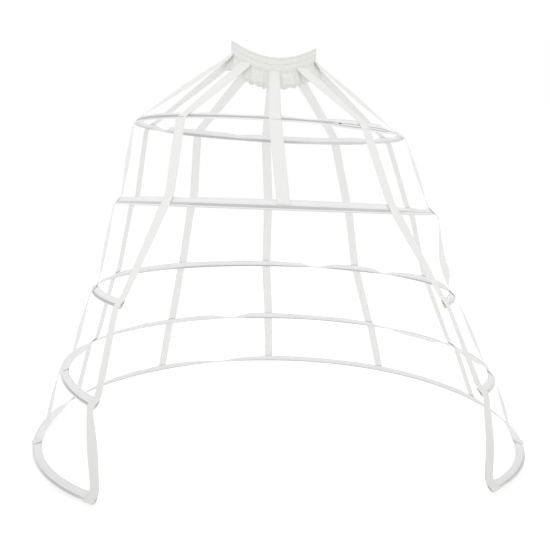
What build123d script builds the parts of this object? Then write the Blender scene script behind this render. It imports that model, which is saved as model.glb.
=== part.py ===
from build123d import *
from math import ceil, cos, degrees, radians, sin, tan
import os

# Crinoline cage: an elastic waistband carries ten ribbon straps, and the straps carry five boned hoops.
# Millimetres. The origin is the centre of the waist opening, level with the lowest point of the
# waistband's top edge. +Z is up and -Y is the front. Left and right are as seen from the front.
# Angles round the body start at the front and grow to the right.

# Size of the hem, and how far its boning hangs below the waist. The other hoops are shares of these.
hem_radius = 584.0
hem_drop = 883.0

# Hoops, from the top one down, each at the height of its boning. A tilted hoop has its right side lower,
# and a pitched one its front higher.
drop_share = [0.1856, 0.3906, 0.6082, 0.816, 1.0]
radius_share = [0.5383, 0.642, 0.7375, 0.8827, 1.0]
sway_share = [-0.011, 0.016, 0.018, 0.04, 0.05]
hoop_tilt = [2.0, 1.0, 0.1, 0.2, -0.2]
hoop_pitch = [-0.35, 1.95, -0.25, -0.4, -0.45]
closed_hoops = 2

# How far the casing and the boning in it lean inwards from upright, as the straps' slope pulls them
hoop_lean = [55.0, 30.0, 35.0, 48.0, 48.0]

# The open hoops end at the front. Past the spring angle their boning bends to another radius.
spring_angle = 70.0
front_share_left = [0.933, 1.072, 0.78]
front_share_right = [0.746, 0.452, 0.65]
front_angle_left = [18.0, 20.3, 36.4]
front_angle_right = [13.6, 23.1, 34.3]
end_reach = 11.0

# Flat boning in short straight lengths, the sleeve that joins its ends on a closed hoop, and the cap on
# each cut end of an open one.
bone_step_angle = 5.0
bone_height = 6.0
bone_depth = 1.2
bone_gap = 3.0
sleeve_wall = 0.35
sleeve_fit = 0.05
sleeve_length = 24.0
sleeve_angle = 26.0
cap_length = 12.0
cap_floor = 1.0
cap_setback = 2.0

# Ribbon casing, folded round the boning and sewn together along its top.
casing_height = 21.0
casing_wall = 0.7
casing_seam = 3.0
channel_clearance = 0.25

# Ribbon pocket sewn over each end of an open hoop.
pocket_length = 28.0
pocket_wall = 0.8
pocket_clearance = 0.3

# Ribbon straps, sewn to the waistband's seam and outside the hoops, and pulled straight in between.
strap_width = 25.0
strap_thickness = 0.8
strap_gap = 0.15
strap_turn_in = 0.5
strap_tail = 2.0
strap_overlap = 4.0
front_strap_stop = 5.0
strap_names = ["front", "front_side", "side", "back_side", "back_inner", "back"]
strap_angle = [0.0, 37.0, 76.0, 106.5, 143.0, 180.0]
strap_waist_angle = [0.0, 44.0, 82.0, 112.0, 145.0, 180.0]

# Waistband. It is an oval that hangs from its two ends, so its middle sags, less at the back.
waist_half_width = 98.0
waist_half_depth = 50.0
waist_sag = 34.0
waist_back_rise = 8.0
waist_tilt = 3.5
band_height = 62.0
band_thickness = 4.6
frill_height = 28.0
frill_flare = 13.0
frill_thickness = 1.6
gather_count = 36
gather_depth = 3.0
seam_gather_depth = 0.8
rib_depth = 0.5

# Elastic inside the upper part of the waistband.
elastic_height = 24.0
elastic_thickness = 1.4
elastic_clearance = 0.3
elastic_inset = 4.5
elastic_steps = 40

# Sizes that follow from the ones above
full_turn = 360.0
hoop_drop = [hem_drop * share for share in drop_share]
hoop_radius = [hem_radius * share for share in radius_share]
hoop_sway = [hem_radius * share for share in sway_share]
front_radius_left = [hem_radius * share for share in front_share_left]
front_radius_right = [hem_radius * share for share in front_share_right]
casing_sleeve_depth = bone_depth + 2 * (sleeve_fit + sleeve_wall)
casing_sleeve_height = bone_height + 2 * (sleeve_fit + sleeve_wall)
channel_half_depth = casing_sleeve_depth / 2 + channel_clearance
channel_half_height = casing_sleeve_height / 2 + channel_clearance
casing_face = channel_half_depth + casing_wall
casing_bottom = -channel_half_height - casing_wall
casing_top = casing_bottom + casing_height
seam_drop = band_height - frill_height

os.makedirs("parts", exist_ok=True)


def save(piece, label):
    """Names a finished piece and writes it to its own file."""
    piece.label = label
    export_step(piece, f"parts/{label}.step")


# Hoops

def hoop_plane(hoop):
    """Plane of a hoop's boning."""
    tilt, pitch = radians(hoop_tilt[hoop]), radians(hoop_pitch[hoop])
    centre = (hoop_sway[hoop], 0, -hoop_drop[hoop])
    square = (cos(pitch) * sin(tilt), sin(pitch), cos(pitch) * cos(tilt))
    return Plane(origin=centre, x_dir=(cos(tilt), 0, -sin(tilt)), z_dir=square)


def outward(angle):
    """Direction away from the middle at an angle round the body, in a hoop's plane."""
    return Vector(sin(radians(angle)), -cos(radians(angle)), 0)


class Bend:
    """A stretch of hoop with one radius: where it starts, how far it turns, and the point it turns about."""

    def __init__(self, hoop, radius, start, turn):
        self.plane = hoop_plane(hoop)
        self.lean = radians(hoop_lean[hoop])
        self.radius = radius
        self.start = start
        self.turn = turn
        self.middle = Vector(0, 0, 0)

    def meeting(self, other, angle):
        """Moves this stretch so that it runs on from another one at an angle."""
        self.middle = other.middle + outward(angle) * (other.radius - self.radius)
        return self

    def leaned(self, out, up):
        """Place off the face and up the ribbon, as a place outwards and upwards from the boning's middle."""
        return out * cos(self.lean) - up * sin(self.lean), up * cos(self.lean) + out * sin(self.lean)

    def point(self, angle, out, up, ease=0.0):
        """Point off the face and up the ribbon at an angle of this stretch, eased outwards."""
        level_out, level_up = self.leaned(out, up)
        local = self.middle + outward(angle) * (self.radius + ease + level_out) + Vector(0, 0, level_up)
        return self.plane.from_local_coords(local)

    def section(self, angle):
        """Plane across the hoop at an angle: x is outwards from the bend's middle, and y is up."""
        across = self.plane.from_local_coords(outward(angle)) - self.plane.origin
        origin = self.plane.from_local_coords(self.middle)
        return Plane(origin=origin, x_dir=across, z_dir=across.cross(self.plane.z_dir))

    def axis(self):
        """Axis that the stretch turns about."""
        return Axis(self.plane.from_local_coords(self.middle), self.plane.z_dir)

    def swept(self, outline, start=None, turn=None):
        """Solid whose section is the outline, given as points off the face and up the ribbon."""
        first = self.start if start is None else start
        angle = self.turn if turn is None else turn
        level = [self.leaned(out, up) for out, up in outline]
        points = [(self.radius + out, up) for out, up in level]
        with BuildPart() as stretch:
            with BuildSketch(self.section(first)):
                with BuildLine():
                    Polyline(points, close=True)
                make_face()
            revolve(axis=self.axis(), revolution_arc=angle)
        return stretch.part


def rectangle_outline(depth, height):
    """Rectangle about the middle of the boning."""
    return [(-depth / 2, -height / 2), (depth / 2, -height / 2), (depth / 2, height / 2), (-depth / 2, height / 2)]


def channel_side(up):
    """How far out the channel's inner side lies at a height: it leans from the sleeve's top to the seam."""
    seam = casing_top - casing_seam
    lean = 2 * channel_half_depth / (seam - channel_half_height)
    return -channel_half_depth + lean * (up - channel_half_height)


def channel_outline():
    """Space inside the folded ribbon, closed at the top by the seam."""
    floor = -channel_half_height
    seam = casing_top - casing_seam
    return [(channel_side(floor), floor), (channel_half_depth, floor), (channel_half_depth, seam)]


def casing_outline(skin=0.0):
    """Outside of the folded ribbon, grown by a skin."""
    low = casing_bottom - skin
    high = casing_top + skin
    inner_wall = casing_wall + skin
    return [
        (channel_side(low) - inner_wall, low),
        (casing_face + skin, low),
        (casing_face + skin, high),
        (channel_side(high) - inner_wall, high),
    ]


def reach_turn(bend, length):
    """Angle that a length along a bend turns through."""
    return degrees(length / bend.radius)


def closed_ring(hoop):
    """A closed hoop, or the circle that an open one follows at its back and sides."""
    return Bend(hoop, hoop_radius[hoop], 0, full_turn)


def back_bend(hoop):
    """The stretch of an open hoop that goes round the back."""
    return Bend(hoop, hoop_radius[hoop], spring_angle, full_turn - 2 * spring_angle)


def front_bend(hoop, side):
    """The stretch of an open hoop from the spring angle to the strap at its front end, on one side."""
    number = hoop - closed_hoops
    if side == "left":
        turn = front_angle_left[number]
        bend = Bend(hoop, front_radius_left[number], -spring_angle, turn)
        return bend.meeting(back_bend(hoop), -spring_angle)
    turn = front_angle_right[number]
    bend = Bend(hoop, front_radius_right[number], spring_angle - turn, turn)
    return bend.meeting(back_bend(hoop), spring_angle)


def front_end(hoop, side):
    """Bend and angle of the front strap on an open hoop."""
    bend = front_bend(hoop, side)
    angle = bend.start + bend.turn if side == "left" else bend.start
    return bend, angle


def end_piece(hoop, side, outline, first, last):
    """Solid along an open hoop's end, between two lengths past the strap's middle."""
    bend, angle = front_end(hoop, side)
    turn = reach_turn(bend, last - first)
    if side == "left":
        return bend.swept(outline, angle + reach_turn(bend, first), turn)
    return bend.swept(outline, angle - reach_turn(bend, last), turn)


def open_run(hoop, outline, reach):
    """Solid round a whole open hoop, ending a reach past the strap's middle on each side."""
    back = back_bend(hoop)
    with BuildPart() as run:
        add(back.swept(outline))
        for side in ("left", "right"):
            add(front_bend(hoop, side).swept(outline))
            add(end_piece(hoop, side, outline, 0, reach))
    return run.part


# Straight lengths: each row of points is a section, set so that a length strays as far out as in

def row(bend, angle, outline, step):
    """Outline across a hoop at a corner between straight lengths that each turn through a step."""
    ease = bend.radius * (1 - cos(radians(step / 2))) / 2
    return [bend.point(angle, out, up, ease) for out, up in outline]


def between(start, end, length):
    """Row at a length from the start, on the line towards the end."""
    share = length / (end[0] - start[0]).length
    return [point + (other - point) * share for point, other in zip(start, end)]


def panel(start, after, end_after, end):
    """Two flat triangles between four corners."""
    return [Face(Wire.make_polygon(three, close=True)) for three in ((start, after, end_after), (start, end_after, end))]


def rod(rows):
    """Solid of straight lengths that runs through rows of points."""
    faces = [Face(Wire.make_polygon(points, close=True)) for points in (rows[0][::-1], rows[-1])]
    count = len(rows[0])
    for start, end in zip(rows, rows[1:]):
        for corner in range(count):
            after = (corner + 1) % count
            faces += panel(start[corner], start[after], end[after], end[corner])
    return Solid(Shell(faces))


def stretch_angles(start, turn):
    """Angles that divide a turn into even steps, both ends with them."""
    steps = ceil(abs(turn) / bone_step_angle)
    return [start + turn * step / steps for step in range(steps + 1)]


def ring_rows(hoop, outline):
    """Rows of a closed hoop's boning. The first and the last bound the length that the sleeve is on."""
    ring = closed_ring(hoop)
    first = sleeve_angle + bone_step_angle / 2
    return [row(ring, angle, outline, bone_step_angle) for angle in stretch_angles(first, full_turn - bone_step_angle)]


def open_rows(hoop, outline, reach):
    """Rows of an open hoop's boning from its right end to its left, each a reach past the strap's middle.

    The length inside a cap is a short one, so that it keeps close to the bend.
    """
    right, right_end = front_end(hoop, "right")
    left, left_end = front_end(hoop, "left")
    back = back_bend(hoop)
    first = right_end - reach_turn(right, reach)
    last = left_end + reach_turn(left, reach)
    right_cap = reach_turn(right, cap_length)
    left_cap = reach_turn(left, cap_length)
    right_angles = stretch_angles(first + right_cap, spring_angle - first - right_cap)
    left_angles = stretch_angles(-spring_angle, last - left_cap + spring_angle)
    stretches = [
        (right, [first, first + right_cap], right_cap),
        (right, right_angles[1:-1], bone_step_angle),
        (back, stretch_angles(back.start, back.turn), bone_step_angle),
        (left, left_angles[1:-1], bone_step_angle),
        (left, [last - left_cap, last], left_cap),
    ]
    return [row(bend, angle, outline, step) for bend, angles, step in stretches for angle in angles]


# Closed hoops: the boning is a ring with a small gap, bridged by the sleeve.
bone_outline = rectangle_outline(bone_depth, bone_height)
sleeve_outline = rectangle_outline(casing_sleeve_depth, casing_sleeve_height)
sleeve_bore = rectangle_outline(bone_depth + 2 * sleeve_fit, bone_height + 2 * sleeve_fit)


def joint_ends(rows, length):
    """Two rows a length apart, in the middle of the straight length that holds the boning's joint."""
    inset = ((rows[0][0] - rows[-1][0]).length - length) / 2
    return between(rows[0], rows[-1], inset), between(rows[-1], rows[0], inset)


for hoop in range(closed_hoops):
    ring = closed_ring(hoop)
    with BuildPart() as casing:
        add(ring.swept(casing_outline()))
        add(ring.swept(channel_outline()), mode=Mode.SUBTRACT)
    save(casing.part, f"hoop_casing_{hoop + 1}")

    rows = ring_rows(hoop, bone_outline)
    start_end, finish_end = joint_ends(rows, bone_gap)
    save(rod([start_end, *rows, finish_end]), f"hoop_bone_{hoop + 1}")

    with BuildPart() as sleeve:
        add(rod(joint_ends(ring_rows(hoop, sleeve_outline), sleeve_length)))
        bore_rows = ring_rows(hoop, sleeve_bore)
        add(rod([bore_rows[0], bore_rows[-1]]), mode=Mode.SUBTRACT)
    save(sleeve.part, f"bone_sleeve_{hoop + 1}")


# Open hoops: the boning runs to just short of the casing's ends, where it is capped.
bone_end = end_reach - cap_setback - cap_floor


def cap_rod(hoop, side, outline, past, length):
    """Straight length round one end of the boning, from a little past it back along the strip."""
    rows = open_rows(hoop, outline, bone_end)
    end, before = (rows[0], rows[1]) if side == "right" else (rows[-1], rows[-2])
    return rod([between(end, before, -past), between(end, before, length - past)])


def pocket_rod(hoop, side, skin, past, length):
    """Straight length round a casing's end, grown by a skin, from a little past it back along the casing."""
    bend, angle = front_end(hoop, side)
    sign = 1 if side == "left" else -1
    end_angle = angle + sign * reach_turn(bend, end_reach)
    turn = reach_turn(bend, pocket_length)
    end = row(bend, end_angle, casing_outline(skin), turn)
    before = row(bend, end_angle - sign * turn, casing_outline(skin), turn)
    return rod([between(end, before, -past), between(end, before, length - past)])


for hoop in range(closed_hoops, len(hoop_drop)):
    with BuildPart() as casing:
        add(open_run(hoop, casing_outline(), end_reach))
        add(open_run(hoop, channel_outline(), end_reach), mode=Mode.SUBTRACT)
    save(casing.part, f"hoop_casing_{hoop + 1}")

    save(rod(open_rows(hoop, bone_outline, bone_end)), f"hoop_bone_{hoop + 1}")

    for side in ("left", "right"):
        with BuildPart() as cap:
            add(cap_rod(hoop, side, sleeve_outline, cap_floor, cap_length))
            add(cap_rod(hoop, side, sleeve_bore, 0, cap_length), mode=Mode.SUBTRACT)
        save(cap.part, f"bone_cap_{hoop + 1}_{side}")

        floor = pocket_clearance + pocket_wall
        with BuildPart() as pocket:
            add(pocket_rod(hoop, side, floor, floor, pocket_length))
            add(pocket_rod(hoop, side, pocket_clearance, pocket_clearance, pocket_length), mode=Mode.SUBTRACT)
        save(pocket.part, f"end_pocket_{hoop + 1}_{side}")


# Waistband

def top_edge(angle):
    """Height of the band's top edge: lowest in front, up at the two ends, and a little askew."""
    across = sin(radians(angle))
    rise = waist_back_rise * (1 - cos(radians(angle))) / 2
    return waist_sag * across**2 + rise - waist_half_width * across * tan(radians(waist_tilt))


def waist_normal(angle):
    """Direction straight out of the waist oval."""
    turn = radians(angle)
    return Vector(waist_half_depth * sin(turn), -waist_half_width * cos(turn), 0).normalized()


def waist_point(angle, out, down):
    """Point out from the waist oval and down from the band's top edge."""
    turn = radians(angle)
    oval = Vector(waist_half_width * sin(turn), -waist_half_depth * cos(turn), top_edge(angle))
    return oval + waist_normal(angle) * out - Vector(0, 0, down)


def belt(corners, steps):
    """Closed solid round the waist. Each corner of its section is out, down and the depth of its folds."""
    angles = [full_turn * step / steps for step in range(steps)]
    folds = [1 if step % 2 == 0 else -1 for step in range(steps)]
    edges = [
        [waist_point(angle, out + fold * depth, down) for angle, fold in zip(angles, folds)]
        for out, down, depth in corners
    ]
    faces = []
    for edge, next_edge in zip(edges, edges[1:] + edges[:1]):
        for step in range(steps):
            after = (step + 1) % steps
            faces += panel(edge[step], edge[after], next_edge[after], next_edge[step])
    return Solid(Shell(faces))


half_band = band_thickness / 2
half_frill = frill_thickness / 2
band_corners = [
    (half_band, 0, rib_depth),
    (half_band, seam_drop, seam_gather_depth),
    (frill_flare + half_frill, band_height, gather_depth),
    (frill_flare - half_frill, band_height, gather_depth),
    (-half_band, seam_drop, seam_gather_depth),
    (-half_band, 0, rib_depth),
]


def elastic_corners(skin):
    """Section of the elastic, grown by a skin."""
    half = elastic_thickness / 2 + skin
    top = elastic_inset - skin
    bottom = elastic_inset + elastic_height + skin
    return [(half, top, 0), (half, bottom, 0), (-half, bottom, 0), (-half, top, 0)]


with BuildPart() as waistband:
    add(belt(band_corners, 2 * gather_count))
    add(belt(elastic_corners(elastic_clearance), elastic_steps), mode=Mode.SUBTRACT)
save(waistband.part, "waistband")

with BuildPart() as waist_elastic:
    add(belt(elastic_corners(0), elastic_steps))
save(waist_elastic.part, "waist_elastic")


# Straps

def waist_stations(angle):
    """Where a strap is sewn to the waistband's seam: the middle of its inner face, and the way its width runs."""
    out = half_band + seam_gather_depth + strap_gap
    stations = []
    for down in (seam_drop - strap_overlap, seam_drop):
        before, after = waist_point(angle - 1, out, down), waist_point(angle + 1, out, down)
        stations.append((waist_point(angle, out, down), (after - before).normalized()))
    return stations


def hoop_stations(bend, angle, skin, bottom):
    """Where a strap meets the top and the bottom of a casing that is grown by a skin."""
    along = bend.section(angle).z_dir * -1
    out = casing_face + skin + strap_gap
    top = casing_top + skin + strap_turn_in
    return [(bend.point(angle, out, top), along), (bend.point(angle, out, bottom - skin), along)]


def strap_stations(number, side):
    """All the bends of a strap, from the waistband to its lowest hoop."""
    sign = -1 if side == "left" else 1
    angle = sign * strap_angle[number]
    name = strap_names[number]
    last_hoop = closed_hoops - 1 if name == "front" else len(hoop_drop) - 1
    stations = waist_stations(sign * strap_waist_angle[number])
    for hoop in range(last_hoop + 1):
        bottom = casing_bottom - strap_turn_in
        if hoop == last_hoop:
            bottom = front_strap_stop if name == "front" else casing_bottom - strap_tail
        if hoop >= closed_hoops and name == "front_side":
            bend, end_angle = front_end(hoop, side)
            stations += hoop_stations(bend, end_angle, pocket_clearance + pocket_wall, bottom)
        else:
            stations += hoop_stations(closed_ring(hoop), angle, 0, bottom)
    return stations


def across(direction, along):
    """The part of a direction that is square to another."""
    return (direction - along * direction.dot(along)).normalized()


def ribbon(stations):
    """Flat ribbon with mitred bends, its inner face on the stations."""
    points = [point for point, _ in stations]
    runs = [after - before for before, after in zip(points, points[1:])]
    with BuildPart() as strip:
        for place, (point, along) in enumerate(stations):
            arriving = across(runs[max(place - 1, 0)], along)
            leaving = across(runs[min(place, len(runs) - 1)], along)
            middle = (arriving + leaving).normalized()
            mitre = strap_thickness / middle.dot(leaving)
            with BuildSketch(Plane(origin=point, x_dir=along, z_dir=middle)):
                Rectangle(strap_width, mitre, align=(Align.CENTER, Align.MIN))
        loft(ruled=True)
    return strip.part


for number, name in enumerate(strap_names):
    if name in ("front", "back"):
        save(ribbon(strap_stations(number, "right")), f"strap_{name}")
    else:
        for side in ("left", "right"):
            save(ribbon(strap_stations(number, side)), f"strap_{name}_{side}")
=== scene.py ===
"""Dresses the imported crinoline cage: woven ribbons, boned casings, end pockets and a gathered waistband.

Metres, in the part's own frame: the origin is the centre of the waist opening, +Z is up and -Y is the
front. Left and right are as seen from the front. Angles round the body start at the front and grow to
the right.
"""
from math import ceil, cos, degrees, exp, pi, radians, sin, sqrt, tan

import bpy
from mathutils import Matrix, Vector, noise

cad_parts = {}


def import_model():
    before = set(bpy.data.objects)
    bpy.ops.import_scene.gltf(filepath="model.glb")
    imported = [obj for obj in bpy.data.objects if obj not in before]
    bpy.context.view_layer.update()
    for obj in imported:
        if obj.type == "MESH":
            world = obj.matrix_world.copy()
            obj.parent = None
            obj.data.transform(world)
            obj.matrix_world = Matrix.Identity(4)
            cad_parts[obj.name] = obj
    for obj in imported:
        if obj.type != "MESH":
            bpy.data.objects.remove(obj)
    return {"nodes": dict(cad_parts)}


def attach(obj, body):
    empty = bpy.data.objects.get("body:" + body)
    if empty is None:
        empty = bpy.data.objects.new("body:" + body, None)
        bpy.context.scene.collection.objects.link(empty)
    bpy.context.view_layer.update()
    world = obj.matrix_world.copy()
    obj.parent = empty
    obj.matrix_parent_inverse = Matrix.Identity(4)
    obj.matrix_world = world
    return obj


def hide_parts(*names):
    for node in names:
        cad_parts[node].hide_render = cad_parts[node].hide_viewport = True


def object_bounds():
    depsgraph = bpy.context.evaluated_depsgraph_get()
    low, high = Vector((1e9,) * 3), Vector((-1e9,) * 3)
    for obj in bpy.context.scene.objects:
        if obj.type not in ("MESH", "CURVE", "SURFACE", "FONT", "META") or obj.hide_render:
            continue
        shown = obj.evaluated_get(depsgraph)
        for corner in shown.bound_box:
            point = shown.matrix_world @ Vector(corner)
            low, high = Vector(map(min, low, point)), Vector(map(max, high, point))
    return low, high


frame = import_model()
cad_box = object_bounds()

MM = 0.001
FULL_TURN = 360.0

# Hoops, as in the part
HEM_RADIUS = 0.584
HEM_DROP = 0.883
DROP_SHARE = [0.1856, 0.3906, 0.6082, 0.816, 1.0]
RADIUS_SHARE = [0.5383, 0.642, 0.7375, 0.8827, 1.0]
SWAY_SHARE = [-0.011, 0.016, 0.018, 0.04, 0.05]
HOOP_TILT = [2.0, 1.0, 0.1, 0.2, -0.2]
HOOP_PITCH = [-0.35, 1.95, -0.25, -0.4, -0.45]
CLOSED_HOOPS = 2
SPRING_ANGLE = 70.0
FRONT_SHARE_LEFT = [0.933, 1.072, 0.78]
FRONT_SHARE_RIGHT = [0.746, 0.452, 0.65]
FRONT_ANGLE_LEFT = [18.0, 20.3, 36.4]
FRONT_ANGLE_RIGHT = [13.6, 23.1, 34.3]
END_REACH = 11.0 * MM
BONE_GAP = 3.0 * MM
SLEEVE_ANGLE = 26.0

# How each casing flops between the straps: its lean at angles round the hoop, both in degrees.
# Past 90 degrees it hangs down.
LEAN_ROUND = [
    [(0, 64), (12, 70), (19, 62), (24, 50), (30, 42), (37, 48), (46, 44), (56, 72), (66, 80), (76, 66),
     (90, 78), (106.5, 60), (114, 78), (122, 62), (133, 36), (143, 34), (154, 46), (164, 32),
     (180, 34), (187, 32), (194, 56), (204, 36), (217, 38), (236, 50), (243, 98), (253.5, 66),
     (262, 80), (284, 50), (297, 52), (312, 54), (323, 58), (334, 64), (348, 70)],
    [(0, 30), (20, 32), (28, 32), (37, 38), (43, 62), (50, 72), (62, 74), (76, 50), (90, 60),
     (106.5, 42), (125, 30), (143, 34), (160, 28), (180, 32), (200, 28), (217, 34), (235, 30),
     (253.5, 42), (268, 58), (284, 48), (297, 46), (312, 42), (323, 36), (330, 48), (336, 34),
     (350, 29)],
    [(56, 38), (76, 50), (90, 42), (100, 28), (106.5, 28), (114, 34), (122, 58), (129, 84), (135, 44),
     (143, 32), (150, 42), (160, 84), (168, 52), (180, 36), (195, 36), (206, 34), (212, 30), (217, 30),
     (228, 36), (240, 42), (253.5, 46), (262, 60), (272, 56), (284, 46), (297, 52), (308, 44)],
    [(47, 54), (54, 60), (73, 54), (79, 54), (90, 98), (98, 104), (104, 62), (109, 62), (115, 104),
     (127, 112), (136, 84), (143, 50), (152, 42), (165, 42), (174, 34), (186, 30), (195, 82),
     (204, 44), (217, 44), (230, 50), (240, 54), (250, 60), (256, 62), (264, 112), (273, 102),
     (284, 84), (293, 72), (300, 62), (310, 54)],
    [(35, 60), (44, 82), (58, 86), (67, 90), (76, 80), (88, 58), (100, 44), (115, 36), (126, 36),
     (137, 36), (147, 34), (166, 36), (180, 34), (190, 48), (198, 76), (206, 50), (217, 36), (230, 38),
     (242, 50), (251, 60), (256, 62), (264, 96), (274, 94), (284, 86), (294, 82), (305, 70), (316, 64),
     (326, 58)],
]

# How strongly the grey band shows on each casing at angles round the hoop: partly the boning seen
# through the ribbon, partly painted shade on its lower fold
BONING_AND_SHADE_ROUND = [
    [(0, 1.0), (60, 0.9), (90, 0.4), (150, 0.5), (175, 0.95), (222, 0.95), (240, 0.4), (270, 0.5),
     (300, 1.0)],
    [(0, 0.85), (30, 0.8), (45, 0.65), (90, 0.4), (180, 0.5), (270, 0.5), (300, 0.65), (325, 0.7),
     (335, 0.85)],
    [(55, 0.7), (68, 0.35), (90, 0.25), (104, 1.0), (128, 1.0), (131, 0.4), (137, 1.0), (155, 1.0),
     (160, 0.4), (166, 1.0), (212, 1.0), (226, 0.5), (250, 0.45), (272, 0.35), (284, 1.0)],
    [(45, 0.9), (58, 0.4), (80, 0.25), (110, 0.45), (139, 0.5), (146, 0.95), (186, 1.0), (196, 0.3),
     (216, 0.35), (232, 0.3), (262, 0.12), (288, 0.1), (298, 0.95)],
    [(36, 0.3), (45, 0.7), (60, 0.65), (72, 0.15), (92, 0.35), (110, 0.8), (140, 0.75), (190, 0.85),
     (200, 0.35), (210, 0.8), (236, 0.75), (252, 0.3), (296, 0.2), (306, 0.72), (320, 0.78), (326, 0.2)],
]

# How far the middle of that grey band lies above the boning's on each hoop, in millimetres
BONING_LINE = [2.4, 0.0, -0.2, -0.8, -0.8]

# Where the ends of the top hoop's boning lie side by side, and how they come apart there, in degrees
LAP_START = 22.0
LAP_END = 49.0
LAP_MARGIN = 3
LAP_RISE = 5
LAP_FALL = 6
LAP_SPREAD = 2.7 * MM

# Casing: heights up the ribbon from the middle of the boning, and how far its faces lie off it
CASING_FACE = 1.95 * MM
CASING_BOTTOM = -4.35 * MM
CASING_TOP = 16.65 * MM
CASING_LAYERS = 1.3 * MM
CASING_LOW_ROW = 5.4 * MM
CASING_TOP_ROW = CASING_TOP - 2.2 * MM
CASING_STEP = 5 * MM
FOLD_TOP = 4 * MM
OUTER_CORNERS = 12

# The casing's flop between the straps: degrees, and how closely the folds follow each other
FLOPS = [(7.0, 11), (3.0, 37)]

# Boning: half its section, half the height that shows, the blur of its edge in millimetres, and how far
# it stops short of an open end
BONE_HALF_THICKNESS = 0.6 * MM
BONE_HALF_WIDTH = 3 * MM
BONE_HALF_SHOWN = 3.2 * MM
BONE_BLUR = 1.1
BONE_END_ROOM = 4 * MM
BONE_STEP = 6 * MM

# End pockets: length, how far the casing stays back inside, how far the tip reaches past the hoop's end,
# and how far the middle lies off the boning
POCKET_LENGTH = 29.0 * MM
POCKET_TUCK = 4.0 * MM
POCKET_REACH = 0.4 * MM
POCKET_MIDDLE = 0.6 * MM
POCKET_STEPS = 36

# Straps, as in the part
STRAP_WIDTH = 25.0 * MM
STRAP_THICKNESS = 0.8 * MM
STRAP_NAMES = ["front", "front_side", "side", "back_side", "back_inner", "back"]
STRAP_ANGLE = [0.0, 37.0, 76.0, 106.5, 143.0, 180.0]
STRAP_WAIST_ANGLE = [0.0, 44.0, 82.0, 112.0, 145.0, 180.0]

# How far the straps lie off what they cross, and how far past its edges they are sewn
STRAP_OFF_BAND = 1.0 * MM
STRAP_OFF_CASING = 0.45 * MM
STRAP_OFF_POCKET = 2.2 * MM
ABOVE_SEAM = 4 * MM
ABOVE_CASING = 0.6 * MM
ON_CASING = 6 * MM
BELOW_CASING = 0.4 * MM
BELOW_HEM = 2 * MM
FRONT_STRAP_STOP = 5 * MM
STRAP_STEP = 4 * MM
STRAP_WANDER = 3.0
STRAP_CUP = 0.4 * MM

# Waistband, as in the part
WAIST_HALF_WIDTH = 0.098
WAIST_HALF_DEPTH = 0.050
WAIST_SAG = 0.034
WAIST_BACK_RISE = 0.008
WAIST_TILT = 3.5
BAND_HEIGHT = 0.062
BAND_THICKNESS = 4.6 * MM
FRILL_HEIGHT = 0.028
FRILL_FLARE = 0.013
FRILL_THICKNESS = 1.6 * MM
GATHER_COUNT = 36
SEAM_DROP = BAND_HEIGHT - FRILL_HEIGHT

# Waistband: depth of its folds, the points at its hung ends in degrees, and the pinch of its stitched rows
BAND_FOLDS = 0.45 * MM
FRILL_FOLDS = 3.3 * MM
PEAK_HEIGHT = 1.0 * MM
LEFT_PEAK_REACH = 9.0
RIGHT_PEAK_REACH = 7.0
BAND_ROWS = (3.6 * MM, 16.0 * MM, SEAM_DROP - 4.2 * MM)
ROW_PINCH = 0.45 * MM
ROW_REACH = 1.2 * MM
HEM_LIP = 0.5 * MM
TOP_LIP = 0.9 * MM
BAND_RADIUS = 0.075
BAND_PLACES = 720
BAND_LEVELS = 30

# Camera, fitted to the photograph
CAMERA_PLACE = Vector((-0.0553, -1.5991, -0.2971))
CAMERA_SPIN = radians(2.3)
CAMERA_PITCH = 0.13155
CAMERA_ROLL = 0.0195
CAMERA_LENS = 42.79


# Small helpers

SHARP_FOLD = radians(38)
SEED_STEP = 7.31
SEED_SHIFT = 3.17


def wobble(place, seed):
    """Smooth noise between about -1 and 1."""
    return noise.noise(Vector((place, seed * SEED_STEP, seed * SEED_SHIFT)))


def smooth(share):
    """Eased share from 0 to 1."""
    share = min(max(share, 0.0), 1.0)
    return share * share * (3 - 2 * share)


def mix(start, end, share):
    """Value between two others."""
    return start + (end - start) * share


def through(knots, place):
    """Value at a place of a curve that runs level through knots, each a place and a value."""
    if place <= knots[0][0]:
        return knots[0][1]
    for (before, low), (after, high) in zip(knots, knots[1:]):
        if place <= after:
            return mix(low, high, smooth((place - before) / (after - before)))
    return knots[-1][1]


def make_mesh(name, points, faces, spots, material, shares=None):
    """Mesh object that rides on the body. Each point has a spot: metres along and across the cloth.

    Shares, one for each point, say how strongly the grey band shows there: partly the boning seen through,
    partly painted shade.
    """
    mesh = bpy.data.meshes.new(name)
    mesh.from_pydata(points, [], faces)
    mesh.update()
    layer = mesh.uv_layers.new(name="cloth")
    for loop in mesh.loops:
        layer.data[loop.index].uv = spots[loop.vertex_index]
    if shares is not None:
        mesh.attributes.new("boning", "FLOAT", "POINT").data.foreach_set("value", shares)
    mesh.polygons.foreach_set("use_smooth", [True] * len(mesh.polygons))
    mesh.set_sharp_from_angle(angle=SHARP_FOLD)
    mesh.materials.append(material)
    piece = bpy.data.objects.new(name, mesh)
    bpy.context.scene.collection.objects.link(piece)
    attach(piece, "root")
    return piece


def tube(rows, spots, closed):
    """Points, faces and spots of a skin through rows of points, each row a closed section.

    A closed tube repeats its first row as its last one's neighbour. An open one gets flat ends.
    """
    count = len(rows[0])
    points = [point for row in rows for point in row]
    flat_spots = [spot for row in spots for spot in row]
    faces = []
    for place in range(len(rows) - (0 if closed else 1)):
        here = place * count
        there = ((place + 1) % len(rows)) * count
        for corner in range(count):
            after = (corner + 1) % count
            faces.append((here + corner, here + after, there + after, there + corner))
    if not closed:
        faces.append(tuple(reversed(range(count))))
        faces.append(tuple(range((len(rows) - 1) * count, len(rows) * count)))
    return points, faces, flat_spots


# Materials

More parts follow.
